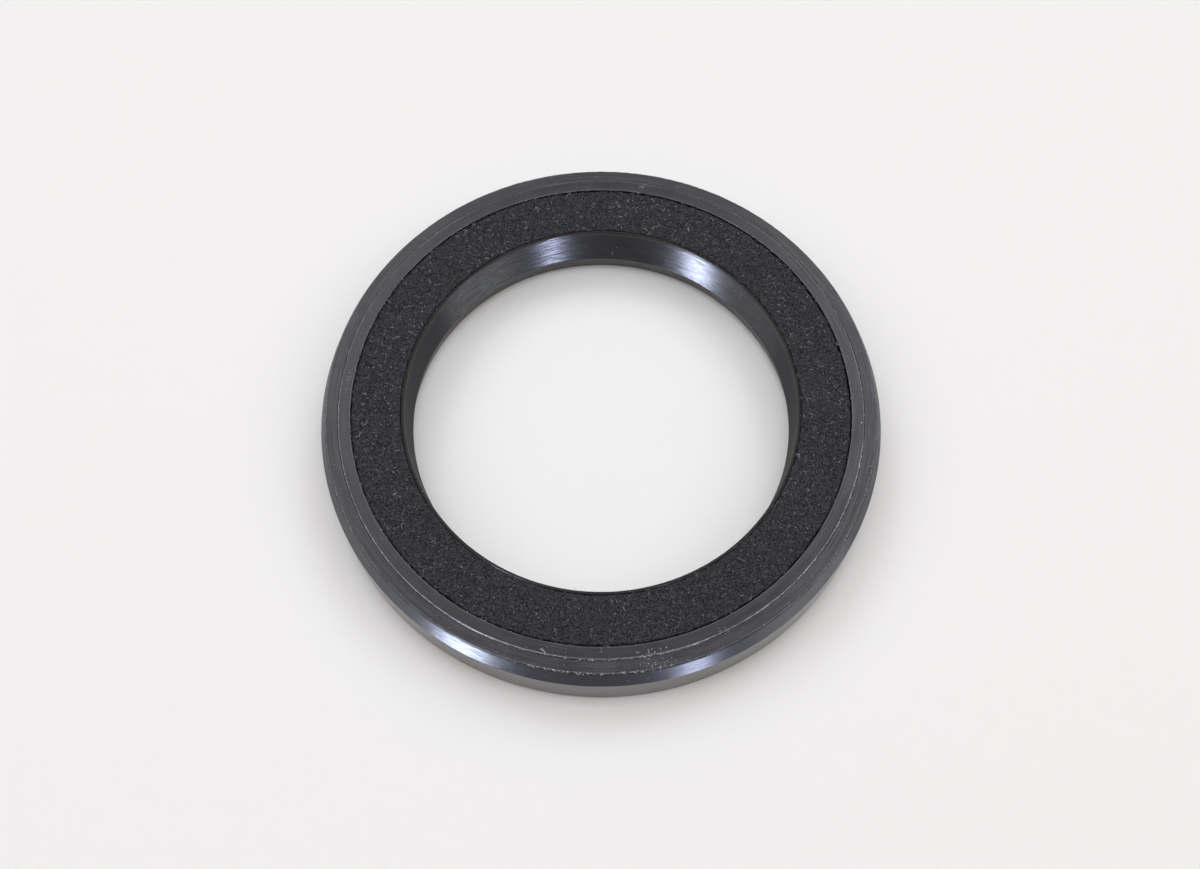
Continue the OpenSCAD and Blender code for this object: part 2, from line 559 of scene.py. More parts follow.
def turned_ring(name, rows, segments, material, ragged=(0.0, 1000.0), turned=None):
    """A ring swept from a section outline, with its faces pointing outwards.

    Ragged is the depth and the scale of its roughness.
    """
    values = {
        "Segments": segments,
        "Path Radius": SEAL_R,
        "Ragged Depth": ragged[0],
        "Ragged Scale": ragged[1],
        "Material": material,
        "Turned Material": turned or material,
    }
    piece = grown(name, section_mesh(name + "_section", rows), RING_TREE, values)
    mesh = piece.data
    if mesh_volume(mesh) < 0:
        mesh.flip_normals()
    mesh.set_sharp_from_angle(angle=SHARP_ANGLE)
    return piece


def mesh_volume(mesh):
    """Signed volume of a closed mesh, positive where its faces point outwards."""
    mesh.calc_loop_triangles()
    corner = np.zeros(len(mesh.loop_triangles) * 3, np.int32)
    mesh.loop_triangles.foreach_get("vertices", corner)
    spots = np.zeros(len(mesh.vertices) * 3)
    mesh.vertices.foreach_get("co", spots)
    tri = spots.reshape(-1, 3)[corner.reshape(-1, 3)]
    return float(np.einsum("ij,ij->i", tri[:, 0], np.cross(tri[:, 1], tri[:, 2])).sum() / 6)


def rubber_outline():
    """Section of the moulding, from its foot up the outer wall, over the lands and down the lip."""
    groove_low = SPRING_Z - GROOVE_R
    groove_high = SPRING_Z + GROOVE_R
    slot_r = NECK_H / 2
    nose_r = LIP_R + NOSE_FLARE
    corners = [
        (CASE_INNER_R, 0.0, 0.1 * MM),
        (SEAL_R - FOOT_CHAMFER, 0.0, 0.1 * MM),
        (SEAL_R, FOOT_CHAMFER, 0.1 * MM),
        (SEAL_R, TAPER_Z, 0.12 * MM, 1.0, 0.15, 0.1),
        (LAND_R + TRIM_IN, LAND_Z - TRIM_H, 0.04 * MM, 1.0, 0.0, 0.1),
        (LAND_R, LAND_Z, 0.07 * MM, 0.0, 0.4, 1.0),
        # The V and the worn step beside it, drawn where the photo has their lines
        (VEE_OUTER_R, LAND_Z, 0.04 * MM),
        (VEE_OUTER_R - 0.06 * MM, LAND_Z - 0.12 * MM),
        # The step's pale colour is partly wear and partly a painted highlight
        (VEE_OUTER_R - 0.1 * MM, LAND_Z, 0.0, 1.0, 0.5),
        (VEE_OUTER_R - 0.14 * MM, SEAL_W - 0.14 * MM, 0.0, 1.0, 1.0, 0.1),
        (VEE_OUTER_R - 0.2 * MM, SEAL_W - 0.05 * MM, 0.0, 0.0, 1.0, 0.1),
        (VEE_OUTER_R - 0.27 * MM, SEAL_W - 0.01 * MM, 0.0, 0.0, 0.7),
        (VEE_OUTER_R - 0.32 * MM, SEAL_W),
        (POCKET_R, SEAL_W, 0.08 * MM, 0.0, 0.3, 0.2),
        (POCKET_R, POCKET_Z),
        (RIM_R, POCKET_Z, 0.0, 1.0),
        (RIM_R, RIM_Z, 0.2 * MM, 1.0, 0.0, 0.4),
        (THROAT_R, RIM_Z, 0.08 * MM, 1.0, 0.3, 0.3),
        (THROAT_R - STRIP_IN, RIM_Z - STRIP_TOP, 0.03 * MM, 0.0),
        (THROAT_R - MOUTH_IN, RIM_Z - STRIP_FOOT, 0.03 * MM, 1.0),
        (LIP_R, LIP_Z + LIP_BAND / 2, 0.08 * MM, 1.0),
        (LIP_R, LIP_Z - LIP_BAND / 2, 0.06 * MM),
        (nose_r, NOSE_LIFT, 0.1 * MM),
        (nose_r + NOSE_W, NOSE_LIFT, 0.15 * MM),
        (COLLAR_R, COLLAR_FOOT_Z, 0.12 * MM),
        (COLLAR_R, groove_low, 0.06 * MM),
    ]
    corners += arc((SPRING_R, SPRING_Z), GROOVE_R, 270, 90, 12)
    corners += [(COLLAR_R, groove_high, 0.06 * MM), (COLLAR_R, COLLAR_TOP_Z, 0.12 * MM)]
    corners += arc((NECK_R + slot_r, COLLAR_TOP_Z + slot_r), slot_r, 270, 90, 8)
    corners += [
        (WEB_R - WEB_H, WEB_Z, 0.1 * MM),
        (WEB_R, FLANGE_Z),
        (FLANGE_R, FLANGE_Z),
        (FLANGE_R, FLANGE_TOP_Z),
    ]
    corners += arc((BEND_R, BEND_Z), CASE_BEND_R + CASE_T, 90, 0, 6)
    corners += [(CASE_OUTER_R, CASE_FOOT_Z), (CASE_INNER_R, CASE_FOOT_Z)]
    return outline(corners)


def case_outline():
    """L section of the pressed steel, wall down and flange in."""
    corners = [(CASE_INNER_R, CASE_FOOT_Z), (CASE_OUTER_R, CASE_FOOT_Z)]
    corners += arc((BEND_R, BEND_Z), CASE_BEND_R + CASE_T, 0, 90, 8)
    corners += [(FLANGE_R, FLANGE_TOP_Z), (FLANGE_R, FLANGE_Z)]
    corners += arc((BEND_R, BEND_Z), CASE_BEND_R, 90, 0, 8)
    return outline(corners)


def felt_outline():
    """Section of the felt, finely divided where it shows."""
    corners = [
        (FELT_INNER_R, POCKET_Z),
        (FELT_OUTER_R, POCKET_Z),
        (FELT_OUTER_R, FELT_TOP_Z, FELT_EDGE_R, 0.0, 1.0, 2.4),
        (FELT_INNER_R, FELT_TOP_Z, FELT_EDGE_R, 0.0, 1.0, 0.9),
    ]
    rows = outline(corners, FELT_STEP)
    top = rows[:, 1] > FELT_TOP_Z - 0.5 * FELT_EDGE_R
    middle = (FELT_INNER_R + FELT_OUTER_R) / 2
    reach = (FELT_OUTER_R - FELT_INNER_R) / 2 - 2 * FELT_EDGE_R
    inner = np.abs(rows[:, 0] - middle) < reach
    rows[:, 4] = np.where(top & inner, 0.12, rows[:, 4])
    return rows


# Scattered specks and fibres
def spot(radius, bearing, height):
    """A place on the ring: bearing in degrees, clockwise from +X as seen from the air side."""
    angle = np.radians(bearing)
    return np.stack([radius * np.cos(angle), -radius * np.sin(angle), height + 0 * angle], axis=-1)


def point_mesh(name, places, sizes, turns, tones):
    """Loose points that carry the size, turn and tone of what is set on them."""
    mesh = bpy.data.meshes.new(name)
    mesh.from_pydata([tuple(p) for p in places], [], [])
    for label, data in (("size", sizes), ("turn", turns)):
        layer = mesh.attributes.new(label, "FLOAT_VECTOR", "POINT")
        layer.data.foreach_set("vector", np.ascontiguousarray(data, np.float32).ravel())
    layer = mesh.attributes.new("tone", "FLOAT", "POINT")
    layer.data.foreach_set("value", np.ascontiguousarray(tones, np.float32))
    return mesh


def felt_fibres(name, seed, low, high):
    """Short bent fibres that lie on the felt between two radii; most are dark and a few are pale."""
    rng = np.random.default_rng(seed)
    count = FIBRE_COUNT
    radius = np.sqrt(rng.uniform(low**2, high**2, count))
    bearing = rng.uniform(0, 360, count)
    near_edge = np.minimum(radius - FELT_INNER_R, FELT_OUTER_R - radius)
    height = FELT_TOP_Z + rng.uniform(-0.05, 0.02, count) * MM
    height -= np.clip(SOFT_EDGE - near_edge, 0, SOFT_EDGE) * 0.6
    length = np.clip(rng.gamma(6.0, 0.08, count), 0.2, 1.1) * MM
    thick = rng.uniform(0.7, 1.3, count) * MM
    size = np.stack([length, rng.uniform(0.6, 1.2, count) * MM, thick], axis=-1)
    tilt = rng.normal(0, 0.15, count)
    pitch = rng.normal(0, 0.05, count)
    turn = np.stack([tilt, pitch, rng.uniform(0, 2 * math.pi, count)], axis=-1)
    share = rng.uniform(size=count)
    tone = np.select(
        [share < limit for limit in TONE_SHARES],
        [rng.uniform(0.0, 0.015, count), rng.uniform(0.04, 0.12, count), rng.uniform(0.12, 0.3, count)],
        rng.uniform(0.5, 1.0, count),
    )
    # Fibres are made darker towards the near side and paler on the far half and the sides: painted shade and
    # painted light
    tone *= 1.2 - 0.5 * np.clip(np.sin(np.radians(bearing)), 0, 1)
    seeds = point_mesh(name + "_seeds", spot(radius, bearing, height), size, turn, tone)
    return grown(name, seeds, FIBRE_TREE, {"Bend": 0.45, "Thickness": 0.044, "Material": FIBRE})


# Single fibres: radius, bearing, height, length in mm, heading in degrees and tone
STRAY_FIBRES = [
    (46.25, 102.1, 12.02, 1.4, -48, 1.0),
    (46.2, 102.05, 12.02, 1.3, -48, 1.0),
    (46.3, 102.15, 12.02, 1.35, -48, 1.0),
    (45.9, 280.4, 12.0, 1.5, 70, 0.5),
    (45.6, 279.9, 12.0, 1.0, 20, 0.6),
    (46.3, 280.8, 12.02, 0.8, -30, 0.6),
    (45.0, 90.0, 12.0, 0.9, 88, 0.6),
    (47.0, 95.0, 11.74, 0.5, 30, 0.6),
    (48.2, 80.0, 11.74, 0.7, 60, 0.6),
]

# Bands of fibres: count, radius and its spread, bearing and its spread or None for all round, height,
# least and most length in mm, least and most tone
FIBRE_BANDS = [
    (110, 44.2, 0.12, None, 11.9, (0.3, 0.8), (0.05, 0.4)),
    (420, 44.28, 0.06, (195, 45), 11.88, (0.3, 0.7), (0.0, 0.12)),
    (160, 35.66, 0.06, None, 11.88, (0.25, 0.7), (0.05, 0.4)),
]


def stray_fibres():
    """Single pale hairs and fibres that lie across the lands, the gap and the rim."""
    rng = np.random.default_rng(SEED + 2)
    rows = list(STRAY_FIBRES)
    for count, middle, spread, side, height, lengths, tones in FIBRE_BANDS:
        for _ in range(count):
            radius = rng.normal(middle, spread)
            bearing = rng.normal(*side) if side else rng.uniform(0, 360)
            length = rng.uniform(*lengths)
            heading = rng.uniform(0, 180)
            rows.append((radius, bearing, height, length, heading, rng.uniform(*tones)))
    rows = np.array(rows)
    count = len(rows)
    length = rows[:, 3] * MM
    size = np.stack([length, rng.uniform(0.7, 1.4, count) * MM, np.full(count, 0.9 * MM)], axis=-1)
    turn = np.stack([np.zeros(count), rng.normal(0, 0.04, count), np.radians(rows[:, 4])], axis=-1)
    places = spot(rows[:, 0] * MM, rows[:, 1], rows[:, 2] * MM)
    seeds = point_mesh("stray_fibre_seeds", places, size, turn, rows[:, 5])
    return grown("stray_fibres", seeds, FIBRE_TREE, {"Bend": 0.3, "Thickness": 0.042, "Material": FIBRE})


# Limits that sort the crumb clusters: spreads of bearing and radius, radii and heights in mm
ALL_ROUND_SPREAD = 60
ALIGNED_SPREAD = 0.025
BROAD_SPREAD = 0.4
LANDS_FROM_R = 44
STEP_R = 46.5
WALL_FROM_R = 49.5
BORE_R = 40
BORE_TOP_Z = 9
INNER_LAND_Z = 12.0
OUTER_LAND_Z = 11.73
FLAT_CRUMB = 0.04
ROUND_CRUMB = 0.1

# Crumb clusters: count, bearing and its spread, radius and its spread, height,
# least and most length in mm, tone
CRUMB_CLUSTERS = [
    (64, 91.0, 11.0, 48.86, 0.08, 11.7, 0.08, 0.3, 0.6),
    (45, 94.0, 12.0, 48.98, 0.06, 11.54, 0.08, 0.28, 0.5),
    (16, 101.0, 6.0, 48.88, 0.03, 11.71, 0.14, 0.26, 1.0),
    (34, 79.0, 3.5, 48.2, 0.45, 11.73, 0.08, 0.24, 0.8),
    (26, 80.0, 3.0, 46.0, 0.4, 12.0, 0.08, 0.26, 0.7),
    (30, 92.0, 8.0, 47.6, 0.7, 11.73, 0.06, 0.16, 0.5),
    (70, 88.0, 20.0, 46.62, 0.04, 11.83, 0.1, 0.34, 0.7),
    (150, 30.0, 26.0, 46.6, 0.02, 11.86, 0.25, 0.6, 0.8),
    (80, 32.0, 26.0, 48.88, 0.02, 11.7, 0.12, 0.34, 0.45),
    (70, 180.0, 180.0, 46.6, 0.04, 11.85, 0.08, 0.22, 0.5),
    (60, 180.0, 30.0, 48.88, 0.04, 11.7, 0.08, 0.2, 0.7),
    (50, 150.0, 180.0, 48.88, 0.05, 11.7, 0.06, 0.18, 0.5),
    (12, 186.0, 2.5, 45.5, 0.4, 12.0, 0.08, 0.2, 0.8),
    (9, 64.5, 1.6, 46.4, 0.5, 11.9, 0.1, 0.26, 0.8),
    (10, 280.4, 0.7, 45.9, 0.4, 12.0, 0.08, 0.22, 0.7),
    (60, 180.0, 180.0, 44.4, 0.06, 11.98, 0.08, 0.22, 0.5),
    (30, 180.0, 180.0, 35.3, 0.12, 11.9, 0.06, 0.18, 0.5),
    (90, 180.0, 180.0, 47.7, 0.6, 11.73, 0.05, 0.11, 0.4),
    (90, 180.0, 180.0, 45.4, 0.5, 12.0, 0.05, 0.11, 0.4),
    (520, 200.0, 180.0, 40.0, 2.2, 11.97, 0.1, 0.2, 0.6),
    (1, 5.4, 0.0, 46.1, 0.0, 11.98, 0.4, 0.4, 0.7),
    (1, 273.85, 0.0, 34.4, 0.0, 5.71, 0.24, 0.24, 1.0),
    (1, 275.1, 0.0, 34.58, 0.0, 7.69, 0.24, 0.24, 1.0),
    (1, 265.0, 0.0, 34.58, 0.0, 7.41, 0.1, 0.1, 0.6),
    (16, 88.0, 24.0, 49.6, 0.1, 9.9, 0.08, 0.2, 0.5),
]


def pale_crumbs():
    """Specks of dust and rubber crumbs, in the places where they gather."""
    rng = np.random.default_rng(SEED + 3)
    places, sizes, turns, tones = [], [], [], []
    for count, bearing, spread, radius, radius_spread, height, least, most, tone in CRUMB_CLUSTERS:
        if spread > ALL_ROUND_SPREAD:
            bearings = bearing + rng.uniform(-spread, spread, count)
        else:
            bearings = bearing + rng.normal(0, 0.6 * spread, count)
        radii = radius + rng.normal(0, 1, count) * radius_spread
        heights = np.full(count, height)
        if radius_spread >= BROAD_SPREAD and radius > LANDS_FROM_R:
            heights = np.where(radii < STEP_R, INNER_LAND_Z, OUTER_LAND_Z)
        places.append(spot(radii * MM, bearings, heights * MM))
        in_bore = height < BORE_TOP_Z and radius < BORE_R
        upright = radius > WALL_FROM_R or height < BORE_TOP_Z
        aligned = 0 < radius_spread < ALIGNED_SPREAD
        length = rng.uniform(least, most, count) * MM / 2
        width = length * rng.uniform(0.35, 0.9, count) * (0.4 if aligned else 1.0)
        thick = np.minimum(width, (ROUND_CRUMB if in_bore else FLAT_CRUMB) * MM)
        if upright:
            sizes.append(np.stack([thick, length, width], axis=-1))
            heading = np.radians(-bearings)
        else:
            sizes.append(np.stack([length, width, thick], axis=-1))
            heading = np.radians(90 - bearings) + rng.normal(0, 0.1 if aligned else 0.7, count)
        turns.append(np.stack([np.zeros(count), np.zeros(count), heading], axis=-1))
        tones.append(np.clip(tone * rng.uniform(0.5, 1.3, count), 0, 1))
    seeds = point_mesh("crumb_seeds", *[np.concatenate(part) for part in (places, sizes, turns, tones)])
    return grown("pale_crumbs", seeds, FLECK_TREE, {"Material": PALE_DUST})


# Shader groups
def ring_position_group():
    """Distance from the shaft axis and height of a point, in millimetres."""
    tree, given, result = new_group(
        "Ring position",
        "ShaderNodeTree",
        [("Vector", "NodeSocketVector", None)],
        [("Radius", "NodeSocketFloat"), ("Height", "NodeSocketFloat"), ("Place", "NodeSocketVector")],
    )
    place = scaled(tree, given["Vector"], 1000.0)
    parts = parts_of(tree, place)
    square = plus(tree, times(tree, parts[0], parts[0]), times(tree, parts[1], parts[1]))
    tree.links.new(maths(tree, "SQRT", square), result["Radius"])
    tree.links.new(parts[2], result["Height"])
    tree.links.new(place, result["Place"])
    return tree


def turning_marks_group():
    """Fine lines that run round the axis, a little wavy and broken along their length."""
    tree, given, result = new_group(
        "Turning marks",
        "ShaderNodeTree",
        [
            ("Vector", "NodeSocketVector", None),
            ("Lines per mm", "NodeSocketFloat", 3.0),
            ("Breaks per mm", "NodeSocketFloat", 0.1),
            ("Wave", "NodeSocketFloat", 0.1),
        ],
        [("Height", "NodeSocketFloat")],
    )
    ring = group(tree, RING_POSITION, {"Vector": given["Vector"]})
    wave = minus(tree, noise(tree, ring["Place"], 0.6, 2.0), 0.5)
    across = minus(tree, ring["Radius"], ring["Height"])
    across = plus(tree, across, times(tree, wave, given["Wave"]))
    slow = parts_of(tree, scaled(tree, ring["Place"], given["Breaks per mm"]))
    lines = put(
        tree,
        "ShaderNodeCombineXYZ",
        None,
        {0: slow[0], 1: slow[1], 2: times(tree, across, given["Lines per mm"])},
    )
    tree.links.new(noise(tree, lines.outputs[0], 1.0, 3.0, 0.6), result["Height"])
    return tree


def dust_group():
    """Mask of small pale specks in patches."""
    tree, given, result = new_group(
        "Dust specks",
        "ShaderNodeTree",
        [
            ("Vector", "NodeSocketVector", None),
            ("Specks per mm", "NodeSocketFloat", 2.0),
            ("Amount", "NodeSocketFloat", 0.3),
        ],
        [("Mask", "NodeSocketFloat")],
    )
    place = scaled(tree, given["Vector"], 1000.0)
    grain = noise(tree, place, given["Specks per mm"], 1.0, 0.4)
    patch = noise(tree, place, 0.16, 2.0, 0.6)
    level = plus(tree, grain, times(tree, minus(tree, patch, 0.5), given["Amount"]))
    tree.links.new(between(tree, level, 0.74, 0.82), result["Mask"])
    return tree


# Materials
def new_material(name):
    """A material with its tree, its shader and the object coordinates."""
    material = bpy.data.materials.new(name)
    material.use_nodes = True
    tree = material.node_tree
    shader = tree.nodes["Principled BSDF"]
    place = put(tree, "ShaderNodeTexCoord").outputs["Object"]
    return material, tree, shader, place


def colour_mix(tree, share, first, second):
    """A colour between two colours."""
    made = put(tree, "ShaderNodeMix", {"data_type": "RGBA"}, {"Factor": share})
    for key, value in ((6, first), (7, second)):
        if isinstance(value, bpy.types.NodeSocket):
            tree.links.new(value, made.inputs[key])
        else:
            made.inputs[key].default_value = (*value, 1.0)
    return made.outputs[2]


def attribute(tree, name):
    """A mesh attribute inside a material."""
    made = put(tree, "ShaderNodeAttribute", {"attribute_name": name})
    return made.outputs["Fac"]


def turning_marks(tree, place, lines, breaks, wave):
    """Height of turning marks, from their lines and breaks per mm and how far they wave."""
    inputs = {"Vector": place, "Lines per mm": lines, "Breaks per mm": breaks, "Wave": wave}
    return group(tree, TURNING_MARKS, inputs)["Height"]


def add_bump(tree, shader, strength, distance, height):
    """Gives a shader a fine relief."""
    made = put(tree, "ShaderNodeBump", None, {"Strength": strength, "Distance": distance, "Height": height})
    tree.links.new(made.outputs["Normal"], shader.inputs["Normal"])


def rubber_skin_group():
    """Colour and relief of black rubber: cloudy, lined, rubbed pale where worn and a little dusty."""
    tree, given, result = new_group(
        "Rubber skin",
        "ShaderNodeTree",
        [
            ("Vector", "NodeSocketVector", None),
            ("Worn", "NodeSocketFloat", 0.0),
            ("Lines", "NodeSocketFloat", 0.5),
        ],
        [
            ("Color", "NodeSocketColor"),
            ("Dust", "NodeSocketFloat"),
            ("Cloud", "NodeSocketFloat"),
            ("Relief", "NodeSocketFloat"),
        ],
    )
    place = given["Vector"]
    marks = turning_marks(tree, place, 3.0, 0.1, 0.1)
    dust = group(tree, DUST, {"Vector": place, "Specks per mm": 2.6, "Amount": 0.35})["Mask"]
    grain = noise(tree, place, 7000.0, 2.0)
    cloud = noise(tree, place, 260.0, 3.0, 0.6)
    fray = between(tree, noise(tree, place, 1900.0, 3.0, 0.65), 0.44, 0.64, 0.4, 1.0)
    spell = between(tree, noise(tree, place, 110.0, 2.0, 0.6), 0.3, 0.7, 0.5, 1.0)
    # Pale where the Worn input says: wear on trimmed edges, and along the V step also a painted highlight
    wear_and_sheen = times(tree, times(tree, fray, spell), given["Worn"])
    black = colour_mix(tree, between(tree, cloud, 0.3, 0.7), RUBBER_DARK, RUBBER_LIGHT)
    line = times(tree, between(tree, marks, 0.38, 0.66), given["Lines"])
    lined = colour_mix(tree, line, black, RUBBER_LINE)
    edged = colour_mix(tree, times(tree, wear_and_sheen, 0.85), lined, PALE_WEAR_AND_GLINT)
    dusty = colour_mix(tree, times(tree, dust, 0.35), edged, DUST_GREY)
    tree.links.new(dusty, result["Color"])
    tree.links.new(dust, result["Dust"])
    tree.links.new(cloud, result["Cloud"])
    lines = times(tree, times(tree, marks, given["Lines"]), 1.4)
    tree.links.new(plus(tree, lines, times(tree, grain, 0.3)), result["Relief"])
    return tree


def moulded_rubber():
    """Rubber as it leaves the mould: smooth on the outer wall, duller and lined on the lands; the outer wall
    and the nose carry a painted reflection of the floor, and the right lands a painted sheen.
    """
    material, tree, shader, place = new_material("black_moulded_rubber")
    fill = tree.links.new
    radius = group(tree, RING_POSITION, {"Vector": place})["Radius"]
    facing = put(tree, "ShaderNodeNewGeometry").outputs["Normal"]
    upward = between(tree, parts_of(tree, facing)[2], 0.3, 0.9)
    outer = between(tree, radius, *LAND_EDGE_MM)
    # Land lines stronger towards the right: a painted sheen of the lamps on the turning marks
    wear_and_sheen = between(tree, parts_of(tree, place)[0], *SHEEN_RIGHT_X, 0.0, 0.5)
    plain = plus(tree, 0.4, times(tree, outer, 0.3))
    lines = times(tree, upward, plus(tree, plain, wear_and_sheen))
    skin = group(tree, RUBBER_SKIN, {"Vector": place, "Worn": attribute(tree, "worn"), "Lines": lines})
    wall = times(tree, minus(tree, 1.0, upward), between(tree, radius, *WALL_MM, 0.0, 0.7))
    inside = between(tree, radius, *INSIDE_MM, 1.0, 0.0)
    # The outer wall and the nose inside are painted warm brown: a painted reflection of the floor below them
    floor_reflection_share = plus(tree, wall, times(tree, inside, 0.6))
    reflected_floor = colour_mix(tree, floor_reflection_share, skin["Color"], WALL_FLOOR_REFLECTION)
    speck = times(tree, times(tree, wall, skin["Dust"]), 0.6)
    fill(colour_mix(tree, speck, reflected_floor, WALL_SPECK), shader.inputs["Base Color"])
    glossy = plus(tree, 0.1, times(tree, inside, 0.28))
    smooth = plus(tree, glossy, times(tree, upward, 0.26))
    matt = plus(tree, smooth, times(tree, skin["Cloud"], 0.08))
    fill(plus(tree, matt, times(tree, skin["Dust"], 0.3), True), shader.inputs["Roughness"])
    add_bump(tree, shader, 0.25, 0.03 * MM, skin["Relief"])
    shader.inputs["Specular IOR Level"].default_value = 0.52
    shader.inputs["Specular Tint"].default_value = MOULDED_TINT
    return material


def ground_rubber():
    """Rubber cut on a lathe: its fine grooves mirror lamps far above, as a coat that leans up."""
    material, tree, shader, place = new_material("black_ground_rubber")
    fill = tree.links.new
    ring = group(tree, RING_POSITION, {"Vector": place})
    worn = attribute(tree, "worn")
    skin = group(tree, RUBBER_SKIN, {"Vector": place, "Worn": worn, "Lines": 0.1})
    outside = between(tree, ring["Radius"], *INSIDE_MM)
    # The turned outer faces are painted blue where not worn: a painted reflection of the bluish lamps
    blue_reflection_share = times(tree, outside, minus(tree, 1.0, worn))
    blue_reflected = colour_mix(tree, blue_reflection_share, skin["Color"], GROUND_BLUE_REFLECTION)
    brown = times(tree, between(tree, ring["Height"], *RIM_TOP_MM), minus(tree, 1.0, outside))
    fill(colour_mix(tree, brown, blue_reflected, RIM_BROWN), shader.inputs["Base Color"])
    dull = minus(tree, 0.6, times(tree, outside, 0.26))
    fill(plus(tree, dull, times(tree, skin["Cloud"], 0.1)), shader.inputs["Roughness"])
    add_bump(tree, shader, 0.2, 0.02 * MM, skin["Relief"])
    streaks = turning_marks(tree, place, 3.4, 0.06, 0.2)
    lift = plus(tree, 1.2, times(tree, outside, 0.3))
    swing = minus(tree, 0.95, times(tree, outside, 0.55))
    sway = times(tree, minus(tree, streaks, 0.5), swing)
    raised = put(tree, "ShaderNodeCombineXYZ", None, {2: plus(tree, lift, sway)}).outputs[0]
    parts = parts_of(tree, place)
    backward = times(tree, parts[0], -1.0)
    along = put(tree, "ShaderNodeCombineXYZ", None, {0: parts[1], 1: backward}).outputs[0]
    lay = scaled(tree, vectors(tree, "NORMALIZE", along), 0.03)
    facing = put(tree, "ShaderNodeNewGeometry").outputs["Normal"]
    leaned = vectors(tree, "ADD", vectors(tree, "ADD", facing, raised), lay)
    fill(vectors(tree, "NORMALIZE", leaned), shader.inputs["Coat Normal"])
    steep = between(tree, parts_of(tree, facing)[2], 0.45, 0.75, 0.65, 0.0)
    fine = turning_marks(tree, place, 3.5, 0.5, 0.3)
    streaky = times(tree, steep, between(tree, fine, 0.25, 0.75, 0.55, 1.45))
    turned = between(tree, attribute(tree, "turned"), 0.4, 0.9)
    fill(times(tree, turned, streaky), shader.inputs["Coat Weight"])
    shader.inputs["Coat Roughness"].default_value = 0.2
    shader.inputs["Specular IOR Level"].default_value = 0.22
    shader.inputs["Specular Tint"].default_value = GROUND_TINT
    return material


def felt_material(name, loose):
    """Black felt; loose is True for the single fibres, whose tone comes with each fibre."""
    material, tree, shader, place = new_material(name)
    fill = tree.links.new
    shader.inputs["Roughness"].default_value = 0.9
    shader.inputs["Specular IOR Level"].default_value = 0.15
    if loose:
        grey = colour_mix(tree, attribute(tree, "tone"), FIBRE_DARK, FIBRE_PALE)
        fine = noise(tree, place, 5000.0, 2.0)
        varied = colour_mix(tree, between(tree, fine, 0.3, 0.7, 0.0, 0.3), grey, FIBRE_SHADE)
        fill(varied, shader.inputs["Base Color"])
        return material
    worms = noise(tree, place, 2600.0, 1.0, 0.5, 1.2)
    ridge = maths(tree, "ABSOLUTE", minus(tree, worms, 0.5))
    thread = between(tree, ridge, 0.0, 0.06, 1.0, 0.0)
    pores = noise(tree, place, 3000.0, 2.0, 0.6)
    # Where the pore noise is low the felt sinks in the bump and is painted near black: painted shade in its
    # hollows
    base = colour_mix(tree, between(tree, pores, 0.4, 0.58), FELT_HOLLOW_SHADE, FELT_LIGHT)
    woven = colour_mix(tree, times(tree, thread, 0.6), base, FELT_THREAD)
    fill(woven, shader.inputs["Base Color"])
    relief = plus(tree, times(tree, pores, 0.7), times(tree, thread, 0.4))
    add_bump(tree, shader, 0.8, 0.12 * MM, relief)
    return material


def steel_material(name, dark, light, rough, marks_per_mm):
    """Plain steel with drawing marks and dull patches."""
    material, tree, shader, place = new_material(name)
    fill = tree.links.new
    marks = turning_marks(tree, place, marks_per_mm, 0.2, 0.2)
    dust = group(tree, DUST, {"Vector": place, "Specks per mm": 2.0, "Amount": 0.3})["Mask"]
    cloud = noise(tree, place, 320.0, 4.0, 0.6)
    metal = colour_mix(tree, between(tree, cloud, 0.3, 0.7), dark, light)
    fill(colour_mix(tree, times(tree, dust, 0.4), metal, dark), shader.inputs["Base Color"])
    shader.inputs["Metallic"].default_value = 0.9
    dull = plus(tree, rough, times(tree, cloud, 0.2))
    fill(plus(tree, dull, times(tree, dust, 0.2), True), shader.inputs["Roughness"])
    add_bump(tree, shader, 0.2, 0.02 * MM, marks)
    return material


def fleck_material():
    """Pale dust and rubber crumbs, each with its own tone."""
    material, tree, shader, place = new_material("pale_dust")
    grey = colour_mix(tree, attribute(tree, "tone"), CRUMB_DARK, CRUMB_PALE)
    fine = noise(tree, place, 8000.0, 2.0)
    varied = colour_mix(tree, between(tree, fine, 0.3, 0.7, 0.0, 0.3), grey, CRUMB_SHADE)
    tree.links.new(varied, shader.inputs["Base Color"])
    shader.inputs["Roughness"].default_value = 0.8
    return material


RING_TREE = turned_ring_tree()
COIL_TREE = wound_coil_tree()
FIBRE_TREE = fibre_tree()
FLECK_TREE = fleck_tree()
RING_POSITION = ring_position_group()
TURNING_MARKS = turning_marks_group()
DUST = dust_group()
RUBBER_SKIN = rubber_skin_group()
RUBBER = moulded_rubber()
GROUND_RUBBER = ground_rubber()
FELT = felt_material("black_felt", False)
FIBRE = felt_material("loose_felt_fibre", True)
CASE_STEEL = steel_material("phosphated_steel", CASE_DARK, CASE_LIGHT, 0.42, 1.2)
SPRING_STEEL = steel_material("drawn_spring_wire", WIRE_DARK, WIRE_LIGHT, 0.22, 4.0)
PALE_DUST = fleck_material()

# Pieces
rubber = turned_ring("moulded_rubber", rubber_outline(), RING_SEGMENTS, RUBBER, RUBBER_RAGGED, GROUND_RUBBER)
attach(rubber, "root")
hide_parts("rubber_body")

case = turned_ring("pressed_case", case_outline(), RING_SEGMENTS, CASE_STEEL)
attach(case, "root")
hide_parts("steel_case")

felt = turned_ring("felt_ring_body", felt_outline(), FELT_SEGMENTS, FELT, FELT_RAGGED)
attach(felt, "root")
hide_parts("felt_ring")

